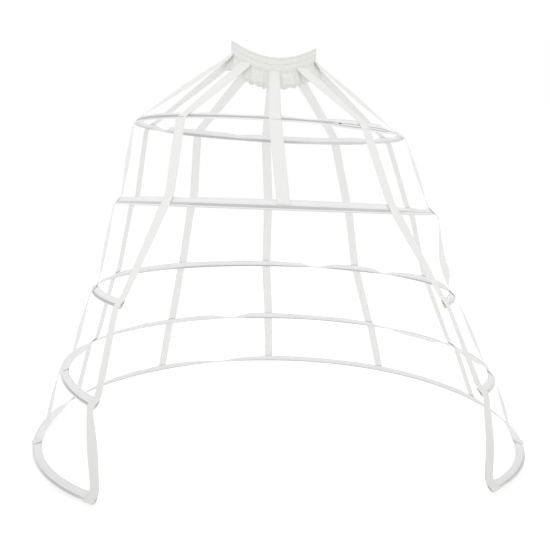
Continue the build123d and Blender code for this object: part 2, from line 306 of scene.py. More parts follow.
STRAP_PALE = (0.875, 0.875, 0.87)
STRAP_SHADE = (0.85, 0.85, 0.84)
STRAP_RIB = (0.81, 0.81, 0.80)
STRAP_EDGE = (0.76, 0.76, 0.75)
# Greyer tint at the lower front of the straps: painted shade
STRAP_PAINTED_SHADE = (0.73, 0.73, 0.715)
HOOP_PALE = (0.88, 0.88, 0.88)
HOOP_SHADE = (0.83, 0.83, 0.83)
# Greyer tint at the lower front of the hoop ribbons: painted shade
HOOP_PAINTED_SHADE = (0.77, 0.77, 0.765)
# Grey of the boning strip, also used for the casings' grey band, which is partly painted shade
BONE_GREY = (0.41, 0.41, 0.415)
BONE_GREY_LIGHT = (0.51, 0.51, 0.515)
# Greyer tint at the lower front of the grey band: painted shade
BONE_PAINTED_SHADE = (0.40, 0.40, 0.405)
BONE_END = (0.08, 0.08, 0.085)
THREAD = (0.87, 0.87, 0.86)
POCKET_PALE = (0.80, 0.80, 0.76)
# Painted shade in the pocket's crumple hollows
POCKET_CREASE_PAINTED_SHADE = (0.66, 0.66, 0.615)
BAND_PALE = (0.87, 0.87, 0.845)
# Painted shade in the pucker's hollows and in the stitched grooves; the groove grey is also the elastic's
# knit
BAND_FOLD_PAINTED_SHADE = (0.79, 0.79, 0.755)
BAND_GROOVE = (0.62, 0.62, 0.59)
METAL_DARK = (0.55, 0.55, 0.57)
METAL_PALE = (0.7, 0.7, 0.72)

# How fast the painted shade grows down and to the front, for each metre, and its value at the origin
PAINTED_SHADE_DOWN = (-2.2, -0.95)
PAINTED_SHADE_FRONT = (-3.5, -0.15)


class Shading:
    """Node material with short calls for the nodes that cloth needs."""

    def __init__(self, name, roughness, sheen=0.0, metallic=0.0):
        self.material = bpy.data.materials.new(name)
        self.material.use_nodes = True
        self.tree = self.material.node_tree
        self.shader = self.tree.nodes["Principled BSDF"]
        self.shader.inputs["Roughness"].default_value = roughness
        self.shader.inputs["Metallic"].default_value = metallic
        self.shader.inputs["Specular IOR Level"].default_value = 0.25
        self.shader.inputs["Sheen Weight"].default_value = sheen
        self.shader.inputs["Sheen Roughness"].default_value = 0.5
        place = self.tree.nodes.new("ShaderNodeUVMap")
        place.uv_map = "cloth"
        parts = self.tree.nodes.new("ShaderNodeSeparateXYZ")
        self.link(place.outputs["UV"], parts.inputs[0])
        self.along = self.math("MULTIPLY", parts.outputs["X"], 1 / MM)
        self.across = self.math("MULTIPLY", parts.outputs["Y"], 1 / MM)

    def link(self, output, socket):
        """Joins two sockets."""
        self.tree.links.new(output, socket)

    def put(self, socket, value):
        """Sets a socket to a number or joins it to an output."""
        if isinstance(value, (int, float)):
            socket.default_value = value
        else:
            self.link(value, socket)

    def math(self, operation, first, second=0.0, third=0.0):
        """Output of one arithmetic node."""
        node = self.tree.nodes.new("ShaderNodeMath")
        node.operation = operation
        for socket, value in zip(node.inputs, (first, second, third)):
            self.put(socket, value)
        return node.outputs[0]

    def most(self, values):
        """Largest of several outputs."""
        largest, *others = values
        for value in others:
            largest = self.math("MAXIMUM", largest, value)
        return largest

    def wave(self, place, pitch):
        """Rounded ridges from 0 to 1, a pitch apart."""
        turned = self.math("SINE", self.math("MULTIPLY", place, 2 * pi / pitch))
        return self.math("MULTIPLY_ADD", turned, 0.5, 0.5)

    def band(self, place, middle, half, soft):
        """1 within half a width of the middle, falling to 0 over a soft edge."""
        away = self.math("ABSOLUTE", self.math("SUBTRACT", place, middle))
        node = self.tree.nodes.new("ShaderNodeMapRange")
        node.interpolation_type = "SMOOTHSTEP"
        self.put(node.inputs["Value"], away)
        self.put(node.inputs["From Min"], half - soft / 2)
        self.put(node.inputs["From Max"], half + soft / 2)
        self.put(node.inputs["To Min"], 1.0)
        self.put(node.inputs["To Max"], 0.0)
        return node.outputs["Result"]

    def stitches(self, middle, pitch=2.6, half=0.28):
        """1 on a row of stitches that runs along the cloth at a height across it."""
        row = self.band(self.across, middle, half, 0.15)
        dash = self.math("GREATER_THAN", self.wave(self.along, pitch), 0.25)
        return self.math("MULTIPLY", row, dash)

    def speckle(self, scale, detail=3.0, stretch=(1.0, 1.0, 1.0)):
        """Noise from 0 to 1 in the object's own space, in features per metre."""
        place = self.tree.nodes.new("ShaderNodeTexCoord")
        mapping = self.tree.nodes.new("ShaderNodeMapping")
        mapping.inputs["Scale"].default_value = stretch
        self.link(place.outputs["Object"], mapping.inputs["Vector"])
        node = self.tree.nodes.new("ShaderNodeTexNoise")
        node.inputs["Scale"].default_value = scale
        node.inputs["Detail"].default_value = detail
        self.link(mapping.outputs["Vector"], node.inputs["Vector"])
        return node.outputs["Fac"]

    def attribute(self, name):
        """Value that the mesh stores at its points."""
        node = self.tree.nodes.new("ShaderNodeAttribute")
        node.attribute_name = name
        return node.outputs["Fac"]

    def painted_shade_low_front(self, colour, tint):
        """Colour greyed towards the lower front: painted shade, where less light reaches the ribbons."""
        place = self.tree.nodes.new("ShaderNodeTexCoord")
        parts = self.tree.nodes.new("ShaderNodeSeparateXYZ")
        self.link(place.outputs["Object"], parts.inputs[0])
        low = self.math("MULTIPLY_ADD", parts.outputs["Z"], *PAINTED_SHADE_DOWN)
        near = self.math("MULTIPLY_ADD", parts.outputs["Y"], *PAINTED_SHADE_FRONT)
        for share in (low, near):
            share.node.use_clamp = True
        return self.blend(self.math("MULTIPLY", low, near), colour, tint)

    def blend(self, share, start, end):
        """Colour between two, each a colour or an output."""
        node = self.tree.nodes.new("ShaderNodeMix")
        node.data_type = "RGBA"
        self.put(node.inputs["Factor"], share)
        for socket, colour in ((node.inputs[6], start), (node.inputs[7], end)):
            if isinstance(colour, tuple):
                socket.default_value = (*colour, 1.0)
            else:
                self.link(colour, socket)
        return node.outputs[2]

    def finish(self, colour, height, depth):
        """Sets the colour and a bump whose full height is a depth in metres."""
        bump = self.tree.nodes.new("ShaderNodeBump")
        bump.inputs["Strength"].default_value = 1.0
        bump.inputs["Distance"].default_value = depth
        self.link(height, bump.inputs["Height"])
        self.link(bump.outputs["Normal"], self.shader.inputs["Normal"])
        self.link(colour, self.shader.inputs["Base Color"])
        return self.material


def woven(shading, along_pitch, across_pitch):
    """Height of a plain weave: threads along and across that pass over each other."""
    along = shading.wave(shading.along, along_pitch)
    across = shading.wave(shading.across, across_pitch)
    return shading.math("ABSOLUTE", shading.math("SUBTRACT", along, across))


def strap_ribbon():
    """Matt woven ribbon with a fine rib and firm edges."""
    shading = Shading("strap_ribbon", roughness=0.86, sheen=0.15)
    rib_pitch = 0.9
    edge_half = 0.6
    rib = shading.wave(shading.along, rib_pitch)
    weave = shading.math("MULTIPLY_ADD", woven(shading, rib_pitch, across_pitch=0.55), 0.5, rib)
    edge_place = shading.math("ABSOLUTE", shading.across)
    edge = shading.band(edge_place, STRAP_WIDTH / 2 / MM - edge_half, edge_half, soft=0.5)
    height = shading.math("MULTIPLY_ADD", edge, 0.6, weave)
    blotch = shading.blend(shading.speckle(9.0), STRAP_PALE, STRAP_SHADE)
    ribbed = shading.blend(shading.math("MULTIPLY", rib, 0.35), blotch, STRAP_RIB)
    colour = shading.blend(shading.math("MULTIPLY", edge, 0.5), ribbed, STRAP_EDGE)
    # Greyed towards the lower front: painted shade
    return shading.finish(shading.painted_shade_low_front(colour, STRAP_PAINTED_SHADE), height, depth=0.08 * MM)


def hoop_ribbon(name, line, lapped=False):
    """Smooth ribbon folded round the boning, with two stitched rows and a grey band that is partly the
    boning seen through it and partly painted shade on its lower fold.

    Line is how far the band's middle lies above the boning's, in millimetres. A lapped ribbon has two thin
    bands in its place where the boning's ends lie side by side.
    """
    shading = Shading(name, roughness=0.7, sheen=0.1)
    weave = woven(shading, along_pitch=0.7, across_pitch=0.45)
    wander = shading.math("MULTIPLY_ADD", shading.speckle(14.0), 0.8, -0.4)
    drift = shading.math("ADD", shading.across, wander)
    # The grey band: partly the boning seen through, partly painted shade on the lower fold
    boning = shading.band(drift, line, BONE_HALF_SHOWN / MM + line, BONE_BLUR)
    if lapped:
        start, end = (radians(angle) * HEM_RADIUS * RADIUS_SHARE[0] / MM for angle in (LAP_START, LAP_END))
        inside = shading.band(shading.along, (start + end) / 2, (end - start) / 2, soft=24.0)
        upper = shading.band(drift, LAP_SPREAD / MM * 1.2, half=1.6, soft=BONE_BLUR)
        lower = shading.band(drift, -LAP_SPREAD / MM * 1.3, half=1.6, soft=BONE_BLUR)
        both = shading.most([upper, lower])
        single = shading.math("MULTIPLY", boning, shading.math("SUBTRACT", 1.0, inside))
        boning = shading.math("ADD", single, shading.math("MULTIPLY", both, inside))
    shown = shading.math("MULTIPLY", boning, shading.attribute("boning"))
    places = [CASING_LOW_ROW / MM, CASING_TOP_ROW / MM]
    rows = shading.most([shading.stitches(place) for place in places])
    groove = shading.most([shading.band(shading.across, place, half=0.5, soft=0.6) for place in places])
    raised = shading.math("MULTIPLY_ADD", rows, 2.0, shading.math("MULTIPLY", weave, 0.5))
    height = shading.math("SUBTRACT", raised, shading.math("MULTIPLY", groove, 1.6))
    plain = shading.blend(shading.speckle(11.0), HOOP_PALE, HOOP_SHADE)
    # Colour of the grey band, partly painted shade
    streaked = shading.blend(shading.speckle(160.0, detail=2.0), BONE_GREY, BONE_GREY_LIGHT)
    # Both greyed towards the lower front: painted shade
    colour = shading.blend(shown, shading.painted_shade_low_front(plain, HOOP_PAINTED_SHADE), shading.painted_shade_low_front(streaked, BONE_PAINTED_SHADE))
    if lapped:
        end_length = shading.band(shading.along, start + 14.0, half=3.2, soft=2.0)
        end_height = shading.band(shading.across, 2.6, half=2.2, soft=1.5)
        colour = shading.blend(shading.math("MULTIPLY", end_length, end_height), colour, BONE_END)
    stitched = shading.blend(shading.math("MULTIPLY", rows, 0.6), colour, THREAD)
    return shading.finish(stitched, height, depth=0.1 * MM)


def pocket_ribbon():
    """Creamier folded ribbon, crumpled and closed by hand stitches."""
    shading = Shading("pocket_ribbon", roughness=0.88, sheen=0.15)
    weave = woven(shading, along_pitch=0.9, across_pitch=0.6)
    crumple = shading.speckle(190.0, detail=4.0)
    rows = shading.most([shading.stitches(place, pitch=3.2, half=0.35) for place in (14.2, -3.2)])
    sewn = shading.math("MULTIPLY_ADD", rows, 1.5, weave)
    height = shading.math("MULTIPLY_ADD", crumple, 3.0, sewn)
    # Darker in the hollows of the crumple: painted shade
    plain = shading.blend(crumple, POCKET_CREASE_PAINTED_SHADE, POCKET_PALE)
    colour = shading.blend(shading.math("MULTIPLY", rows, 0.5), plain, THREAD)
    return shading.finish(colour, height, depth=0.12 * MM)


def waistband_fabric():
    """Soft plain-weave cotton, puckered along the stitched rows that hold the elastic."""
    shading = Shading("waistband_fabric", roughness=0.9, sheen=0.2)
    weave = woven(shading, along_pitch=0.8, across_pitch=0.8)
    places = [row / MM for row in (*BAND_ROWS, SEAM_DROP)]
    rows = shading.most([shading.stitches(place, pitch=2.4) for place in places])
    groove = shading.most([shading.band(shading.across, place, half=0.6, soft=0.8) for place in places])
    pucker = shading.speckle(150.0, detail=3.0, stretch=(1.0, 1.0, 0.25))
    sewn = shading.math("MULTIPLY_ADD", rows, 1.5, weave)
    puckered = shading.math("MULTIPLY_ADD", pucker, 7.0, sewn)
    height = shading.math("SUBTRACT", puckered, shading.math("MULTIPLY", groove, 3.0))
    # Darker in the hollows of the pucker and in the stitched grooves: painted shade
    plain = shading.blend(pucker, BAND_FOLD_PAINTED_SHADE, BAND_PALE)
    shaded = shading.blend(shading.math("MULTIPLY", groove, 0.35), plain, BAND_GROOVE)
    colour = shading.blend(shading.math("MULTIPLY", rows, 0.5), shaded, THREAD)
    return shading.finish(colour, height, depth=0.12 * MM)


def elastic_knit():
    """Knitted elastic: close ribs along its length."""
    shading = Shading("elastic_knit", roughness=0.9)
    grain = shading.speckle(420.0, detail=2.0, stretch=(1.0, 1.0, 3.0))
    colour = shading.blend(grain, STRAP_PALE, BAND_GROOVE)
    return shading.finish(colour, grain, depth=0.2 * MM)


def boning_strip():
    """Spring strip in a pale plastic coat, slightly streaked."""
    shading = Shading("boning_strip", roughness=0.45)
    streak = shading.speckle(220.0, detail=2.0, stretch=(1.0, 1.0, 6.0))
    colour = shading.blend(streak, BONE_GREY_LIGHT, BONE_GREY)
    return shading.finish(colour, streak, depth=0.05 * MM)


def crimped_metal():
    """Thin plated sheet, lightly scratched."""
    shading = Shading("crimped_metal", roughness=0.35, metallic=1.0)
    scratch = shading.speckle(700.0, detail=4.0, stretch=(1.0, 1.0, 5.0))
    colour = shading.blend(scratch, METAL_DARK, METAL_PALE)
    return shading.finish(colour, scratch, depth=0.04 * MM)


cloth = {
    "strap": strap_ribbon(),
    "hoop_1": hoop_ribbon("hoop_ribbon_lapped", BONING_LINE[0], lapped=True),
    "hoop_2": hoop_ribbon("hoop_ribbon_2", BONING_LINE[1]),
    "hoop_3": hoop_ribbon("hoop_ribbon_3", BONING_LINE[2]),
    "hoop_4": hoop_ribbon("hoop_ribbon_4", BONING_LINE[3]),
    "hoop_5": hoop_ribbon("hoop_ribbon_5", BONING_LINE[4]),
    "pocket": pocket_ribbon(),
    "band": waistband_fabric(),
    "elastic": elastic_knit(),
    "boning": boning_strip(),
    "metal": crimped_metal(),
}


# Hoops

def outward(angle):
    """Level direction away from the middle at an angle round the body."""
    return Vector((sin(radians(angle)), -cos(radians(angle)), 0))


class Hoop:
    """The middle line of one hoop's boning and the directions about it."""

    def __init__(self, number):
        self.number = number
        self.radius = HEM_RADIUS * RADIUS_SHARE[number]
        tilt = radians(HOOP_TILT[number])
        place = Vector((HEM_RADIUS * SWAY_SHARE[number], 0, -HEM_DROP * DROP_SHARE[number]))
        pitch = radians(HOOP_PITCH[number])
        turn = Matrix.Rotation(tilt, 4, "Y") @ Matrix.Rotation(-pitch, 4, "X")
        self.frame = Matrix.Translation(place) @ turn
        self.closed = number < CLOSED_HOOPS
        self.leans = LEAN_ROUND[number]
        self.shown = BONING_AND_SHADE_ROUND[number]
        self.first = 0.0
        self.last = FULL_TURN
        if self.closed:
            self.leans = self.leans + [(FULL_TURN, self.leans[0][1])]
            self.shown = self.shown + [(FULL_TURN, self.shown[0][1])]
        else:
            open_number = number - CLOSED_HOOPS
            self.right_radius = HEM_RADIUS * FRONT_SHARE_RIGHT[open_number]
            self.left_radius = HEM_RADIUS * FRONT_SHARE_LEFT[open_number]
            self.right_strap = SPRING_ANGLE - FRONT_ANGLE_RIGHT[open_number]
            self.left_strap = FULL_TURN - SPRING_ANGLE + FRONT_ANGLE_LEFT[open_number]
            self.first = self.right_strap - degrees(END_REACH / self.right_radius)
            self.last = self.left_strap + degrees(END_REACH / self.left_radius)

    def bend(self, angle):
        """Middle and radius of the stretch at an angle."""
        if self.closed or SPRING_ANGLE <= angle <= FULL_TURN - SPRING_ANGLE:
            return Vector((0, 0, 0)), self.radius
        if angle < FULL_TURN / 2:
            spring, radius = SPRING_ANGLE, self.right_radius
        else:
            spring, radius = -SPRING_ANGLE, self.left_radius
        return outward(spring) * (self.radius - radius), radius

    def flop(self, angle, up):
        """How far the free edge of the casing turns from its lean, in degrees."""
        spot = outward(angle) * self.radius
        shift = Vector((0, 0, self.number * SEED_STEP))
        turn = sum(size * noise.noise(spot * folds + shift) for size, folds in FLOPS)
        return turn * smooth((up - FOLD_TOP) / CASING_TOP)

    def point(self, angle, face=0.0, up=0.0):
        """Point off the face of the leaning ribbon and up it, from the boning's middle."""
        turned = angle % FULL_TURN if self.closed else angle
        lean = radians(through(self.leans, turned) + self.flop(angle, up))
        middle, radius = self.bend(angle)
        out = face * cos(lean) - up * sin(lean)
        rise = up * cos(lean) + face * sin(lean)
        return self.frame @ (middle + outward(angle) * (radius + out) + Vector((0, 0, rise)))

    def along(self, angle):
        """Direction of the hoop towards growing angles."""
        ahead = Vector((cos(radians(angle)), sin(radians(angle)), 0))
        return (self.frame.to_3x3() @ ahead).normalized()

    def face(self, angle):
        """Direction square to the leaning ribbon's outer face."""
        return (self.point(angle, 1.0) - self.point(angle)).normalized()

    def strap_angle(self, name, side):
        """Angle at which a strap crosses."""
        if name == "front_side" and not self.closed:
            return self.right_strap if side == "right" else self.left_strap
        angle = STRAP_ANGLE[STRAP_NAMES.index(name)]
        return angle if side == "right" else FULL_TURN - angle


hoops = [Hoop(number) for number in range(len(DROP_SHARE))]


def casing_section(place, seed, lap=0.0):
    """Section of the folded ribbon at a length along it: off the face and up, closed, lower fold first."""
    puff = 0.25 * MM * wobble(place * 18, seed)
    inner_face = CASING_FACE - CASING_LAYERS
    low = CASING_BOTTOM - LAP_SPREAD * lap
    outer = [
        (0.0, low),
        (1.3 * MM, low + 0.45 * MM),
        (1.9 * MM, low + 1.6 * MM),
        (2.0 * MM, -1.0 * MM),
        (2.0 * MM, 1.6 * MM),
        (1.9 * MM, 3.4 * MM),
        (CASING_FACE - 0.35 * MM, CASING_LOW_ROW),
        (CASING_FACE + 0.1 * MM + puff, CASING_LOW_ROW + 2.6 * MM),
        (CASING_FACE + 0.1 * MM + puff, CASING_TOP_ROW - 2.6 * MM),
        (CASING_FACE - 0.25 * MM, CASING_TOP_ROW),
        (CASING_FACE + 0.15 * MM, CASING_TOP - 0.3 * MM),
        (CASING_FACE - 0.25 * MM, CASING_TOP),
    ]
    inner = [
        (inner_face + 0.25 * MM, CASING_TOP - 0.2 * MM),
        (inner_face - 0.1 * MM, CASING_TOP - 0.7 * MM),
        (inner_face + 0.2 * MM, CASING_TOP_ROW),
        (inner_face - 0.15 * MM - puff, CASING_TOP_ROW - 2.6 * MM),
        (inner_face - 0.4 * MM - puff, CASING_LOW_ROW + 2.6 * MM),
        (inner_face - 0.7 * MM, CASING_LOW_ROW),
        (-1.75 * MM, 3.6 * MM),
        (-1.95 * MM, 1.6 * MM),
        (-1.95 * MM, -1.0 * MM),
        (-1.85 * MM, low + 1.6 * MM),
        (-1.2 * MM, low + 0.45 * MM),
    ]
    return outer + inner


def hoop_angles(first, last, radius, step):
    """Even angles from first to last, about a step apart along the hoop."""
    count = max(2, ceil(radians(last - first) * radius / step))
    return [first + (last - first) * place / count for place in range(count + 1)]


def grey_band_share(hoop, angle, length):
    """How strongly the grey band shows at an angle, a little unevenly; it is partly painted shade."""
    patch = 0.5 + 0.5 * noise.noise(Vector((length * 12.0, hoop.number * 3.7, 0.2)))
    return through(hoop.shown, angle) * mix(0.75, 1.0, patch)


def lap_share(angle):
    """How far apart the ends of the top hoop's boning lie at an angle, from 0 to 1."""
    rise = smooth((angle - LAP_START + LAP_MARGIN) / LAP_RISE)
    return rise * smooth((LAP_END + LAP_MARGIN - angle) / LAP_FALL)


def casing(hoop):
    """The ribbon casing of one hoop."""
    tuck = 0.0 if hoop.closed else degrees(POCKET_TUCK / hoop.radius)
    angles = hoop_angles(hoop.first + tuck, hoop.last - tuck, hoop.radius, CASING_STEP)
    if hoop.closed:
        angles = angles[:-1]
    seed = 11 + hoop.number
    rows, spots, shares = [], [], []
    for angle in angles:
        length = radians(angle) * hoop.radius
        lap = lap_share(angle) if hoop.number == 0 else 0.0
        section = casing_section(length, seed, lap)
        rows.append([hoop.point(angle, face, up) for face, up in section])
        spots.append([(length, up) for face, up in section])
        # The grey band, partly painted shade, goes on the outer face and the lower fold
        shown = grey_band_share(hoop, angle, length)
        for corner, (_, up) in enumerate(section):
            shares.append(shown if corner < OUTER_CORNERS or up < FOLD_TOP else 0.0)
    points, faces, flat_spots = tube(rows, spots, hoop.closed)
    ribbon = cloth[f"hoop_{hoop.number + 1}"]
    name = f"casing_{hoop.number + 1}"
    piece = make_mesh(name, points, faces, flat_spots, ribbon, shares)
    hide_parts(f"hoop_casing_{hoop.number + 1}")
    middles = [hoop.point(angle) for angle in angles]
    if hoop.closed:
        middles.append(middles[0])


def boning(hoop):
    """The flat spring strip inside one hoop, which twists with its casing."""
    if hoop.closed:
        gap = degrees(BONE_GAP / hoop.radius)
        first, last = SLEEVE_ANGLE + gap / 2, SLEEVE_ANGLE + FULL_TURN - gap / 2
    else:
        room = degrees(BONE_END_ROOM / hoop.radius)
        first, last = hoop.first + room, hoop.last - room
    corners = [
        (BONE_HALF_THICKNESS, -BONE_HALF_WIDTH),
        (BONE_HALF_THICKNESS, BONE_HALF_WIDTH),
        (-BONE_HALF_THICKNESS, BONE_HALF_WIDTH),
        (-BONE_HALF_THICKNESS, -BONE_HALF_WIDTH),
    ]
    rows, spots = [], []
    for angle in hoop_angles(first, last, hoop.radius, BONE_STEP):
        rows.append([hoop.point(angle, face, up) for face, up in corners])
        spots.append([(radians(angle) * hoop.radius, up) for face, up in corners])
    points, faces, flat_spots = tube(rows, spots, False)
    piece = make_mesh(f"boning_{hoop.number + 1}", points, faces, flat_spots, cloth["boning"])
    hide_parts(f"hoop_bone_{hoop.number + 1}")


for hoop in hoops:
    boning(hoop)
    casing(hoop)


# End pockets

def end_pocket(hoop, side):
    """Folded ribbon sewn over the end of an open hoop, crumpled, with a rounded tip."""
    sign = 1 if side == "left" else -1
    radius = hoop.left_radius if side == "left" else hoop.right_radius
    tip = (hoop.last if side == "left" else hoop.first) + sign * degrees(POCKET_REACH / radius)
    seed = hoop.number * 2 + sign
    section = casing_section(0.0, 1)
    full_height = CASING_TOP - CASING_BOTTOM
    rows, spots = [], []
    for step in range(POCKET_STEPS + 1):
        share = step / POCKET_STEPS
        angle = tip - sign * degrees(POCKET_LENGTH / radius) * (1 - share)
        swell = 0.7 * MM + 0.6 * MM * sin(pi * share) + 0.3 * MM * wobble(share * 7, seed)
        close = smooth((share - 0.7) / 0.3)
        rounded = sqrt(1.0 - 0.93 * max(0.0, (share - 0.74) / 0.26) ** 2)
        thick = (1 + swell / (2.2 * MM)) * rounded
        middle_up = (CASING_TOP + CASING_BOTTOM) / 2 - 2.0 * MM * close
        grown_height = full_height + mix(1.6 * MM, -4.0 * MM, close)
        row, row_spots = [], []
        for face, up in section:
            height = (up - CASING_BOTTOM) / full_height - 0.5
            crumple = 0.4 * MM * wobble(share * 9 + height * 4, seed + 9)
            grown_face = POCKET_MIDDLE + (face - POCKET_MIDDLE) * thick + crumple * rounded
            grown_up = middle_up + height * grown_height * rounded
            row.append(hoop.point(angle, grown_face, grown_up))
            row_spots.append((share * POCKET_LENGTH, grown_up))
        rows.append(row)
        spots.append(row_spots)
    points, faces, flat_spots = tube(rows, spots, False)
    name = f"pocket_{hoop.number + 1}_{side}"
    piece = make_mesh(name, points, faces, flat_spots, cloth["pocket"])
    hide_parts(f"end_{name}")


for hoop in hoops[CLOSED_HOOPS:]:
    for side in ("left", "right"):
        end_pocket(hoop, side)


# Waistband

def top_edge(angle):
    """Height of the band's top edge, drawn up to a point where each end hangs."""
    across = sin(radians(angle))
    left_peak = PEAK_HEIGHT * exp(-((angle - 270) / LEFT_PEAK_REACH) ** 2)
    right_peak = PEAK_HEIGHT * exp(-((angle - 90) / RIGHT_PEAK_REACH) ** 2)
    rise = WAIST_BACK_RISE * (1 - cos(radians(angle))) / 2
    level = WAIST_SAG * across**2 + rise - WAIST_HALF_WIDTH * across * tan(radians(WAIST_TILT))
    return level + left_peak + right_peak


def waist_normal(angle):
    """Direction straight out of the waist oval."""
    turn = radians(angle)
    return Vector((WAIST_HALF_DEPTH * sin(turn), -WAIST_HALF_WIDTH * cos(turn), 0)).normalized()


def waist_point(angle, out, down):
    """Point out from the waist oval and down from the band's top edge."""
    turn = radians(angle)
    oval = Vector((WAIST_HALF_WIDTH * sin(turn), -WAIST_HALF_DEPTH * cos(turn), top_edge(angle)))
    return oval + waist_normal(angle) * out - Vector((0, 0, down))


def gather(angle):
    """Uneven folds round the band, between -1 and 1."""
    turn = radians(angle)
    drift = 0.9 * noise.noise(Vector((sin(turn), cos(turn), 0.3)) * 2.2)
    wave = sin(GATHER_COUNT * turn + 5 * drift)
    fine = noise.noise(Vector((sin(turn), cos(turn), 1.7)) * 9)
    return 0.8 * wave + 0.5 * fine


def band_out(angle, down):
    """How far the band's middle layer stands out at a height, with its folds."""
    frill = smooth((down - SEAM_DROP) / FRILL_HEIGHT)
    straight = max(0.0, (down - SEAM_DROP) / FRILL_HEIGHT)
    flare = FRILL_FLARE * (0.75 * straight + 0.25 * frill)
    return flare + gather(angle) * mix(BAND_FOLDS, FRILL_FOLDS, frill)


def band_half(down):
    """Half the band's thickness at a height, pinched at each stitched row."""
    half = mix(BAND_THICKNESS / 2, FRILL_THICKNESS / 2, smooth((down - SEAM_DROP + 4 * MM) / (10 * MM)))
    pinch = 0.0
    for row in BAND_ROWS:
        pinch += ROW_PINCH * exp(-((down - row) / ROW_REACH) ** 2)
    return half - pinch


def waistband():
    """The gathered band with its frill, as one closed skin."""
    rows, spots = [], []
    for place in range(BAND_PLACES):
        angle = FULL_TURN * place / BAND_PLACES
        drift = 1.5 * MM * noise.noise(Vector((angle / 23.0, 0.0, 4.0)))
        hem = BAND_HEIGHT + 1.6 * MM * gather(angle) + drift
        downs = [level / BAND_LEVELS * hem for level in range(BAND_LEVELS + 1)]
        section = [(band_out(angle, down) + band_half(down), down) for down in downs]
        section.append((band_out(angle, hem), hem + HEM_LIP))
        section += [(band_out(angle, down) - band_half(down), down) for down in reversed(downs)]
        section.append((band_out(angle, 0.0), -TOP_LIP))
        rows.append([waist_point(angle, out, down) for out, down in section])
        spots.append([(radians(angle) * BAND_RADIUS, down) for _, down in section])
    points, faces, flat_spots = tube(rows, spots, True)
    piece = make_mesh("gathered_band", points, faces, flat_spots, cloth["band"])
    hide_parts("waistband")


waistband()


# Straps

class Station:
    """A place that a strap passes: its middle, the way its width runs, and its outer side."""

    def __init__(self, point, along, out):
        self.point = point
        self.along = along
        self.out = out


def waist_stations(angle):
    """Where a strap is sewn on the band and lies over the frill."""
    out = BAND_THICKNESS / 2 + STRAP_OFF_BAND
    stations = []
    for down in (SEAM_DROP - ABOVE_SEAM, SEAM_DROP):
        ahead = waist_point(angle + 1, out, down) - waist_point(angle - 1, out, down)
        stations.append(Station(waist_point(angle, out, down), ahead.normalized(), waist_normal(angle)))
    return stations


def hoop_stations(hoop, name, side, stop, aside):
    """Where a strap crosses a hoop's casing, from its top edge to a stop below or on it."""
    angle = hoop.strap_angle(name, side) + degrees(aside * MM / hoop.radius)
    off = CASING_FACE + STRAP_OFF_CASING
    if name == "front_side" and not hoop.closed:
        off += STRAP_OFF_POCKET
    along = hoop.along(angle)
    out = hoop.face(angle)
    heights = [CASING_TOP + ABOVE_CASING, ON_CASING, stop]
    return [Station(hoop.point(angle, off, up), along, out) for up in heights]


def bump(share, peak):
    """Rise from 0 to 1 at a peak's place and back to 0."""
    return smooth(share / peak) if share < peak else smooth((1 - share) / (1 - peak))


class Run:
    """How a strap hangs between two hoops. Twist turns its face to the front, most at the peak's place.

    Slack is how far it hangs out from the straight line, and sideways how far to growing angles, each as
    knots of share and distance. Aside is how far the strap was sewn from its even place on the lower hoop.
    The distances are in millimetres.
    """

    def __init__(self, twist=0.0, peak=0.5, slack=(), sideways=(), aside=0.0):
        self.twist = twist
        self.peak = peak
        self.aside = aside
        self.slack = [(0, 0), *slack, (1, 0)]
        self.sideways = [(0, 0), *sideways, (1, 0)]


def strap_path(name, side, runs):
    """Evenly spaced places along a strap, each a point, a width direction, an outer side and a twist."""
    last = CLOSED_HOOPS - 1 if name == "front" else len(hoops) - 1
    waist_angle = STRAP_WAIST_ANGLE[STRAP_NAMES.index(name)]
    seam_angle = waist_angle if side == "right" else FULL_TURN - waist_angle
    stations = waist_stations(seam_angle + degrees(runs.get("waist", Run()).aside * MM / WAIST_HALF_WIDTH))
    arrivals = {}
    for hoop in hoops[:last + 1]:
        arrivals[len(stations) - 1] = hoop.number
        stop = CASING_BOTTOM - BELOW_CASING
        if hoop.number == last:
            stop = FRONT_STRAP_STOP if name == "front" else CASING_BOTTOM - BELOW_HEM
        stations += hoop_stations(hoop, name, side, stop, runs.get(hoop.number, Run()).aside)
    path = []
    for place, (start, end) in enumerate(zip(stations, stations[1:])):
        count = max(1, round((end.point - start.point).length / STRAP_STEP))
        run = runs.get(arrivals.get(place), Run())
        closing = 1 if place == len(stations) - 2 else 0
        for piece in range(count + closing):
            share = piece / count
            along = start.along.lerp(end.along, share).normalized()
            out = start.out.lerp(end.out, share).normalized()
            point = start.point.lerp(end.point, share)
            point += out * (through(run.slack, share) * MM) + along * (through(run.sideways, share) * MM)
            twist = run.twist * bump(share, run.peak) * (1 if side == "right" else -1)
            path.append((point, along, out, twist))
    return path


def softened(values, reach):
    """Points with their corners rounded, the two ends kept."""
    for _ in range(2):
        rounded = []
        for place in range(len(values)):
            near = min(reach, place, len(values) - 1 - place)
            window = values[place - near:place + near + 1]
            rounded.append(sum(window, Vector((0, 0, 0))) / len(window))
        values = rounded
    return values


def strap_section(cup):
    """Section of a ribbon across its width: sideways and outwards, closed."""
    half = STRAP_WIDTH / 2
    shares = [-1.0, -0.94, -0.7, -0.35, 0.0, 0.35, 0.7, 0.94, 1.0]
    outer = [(half * share, STRAP_THICKNESS + cup * share * share) for share in shares[1:-1]]
    inner = [(half * share, cup * share * share) for share in reversed(shares[1:-1])]
    left = (half * shares[0], STRAP_THICKNESS / 2 + cup)
    right = (half * shares[-1], STRAP_THICKNESS / 2 + cup)
    return [left] + outer + [right] + inner


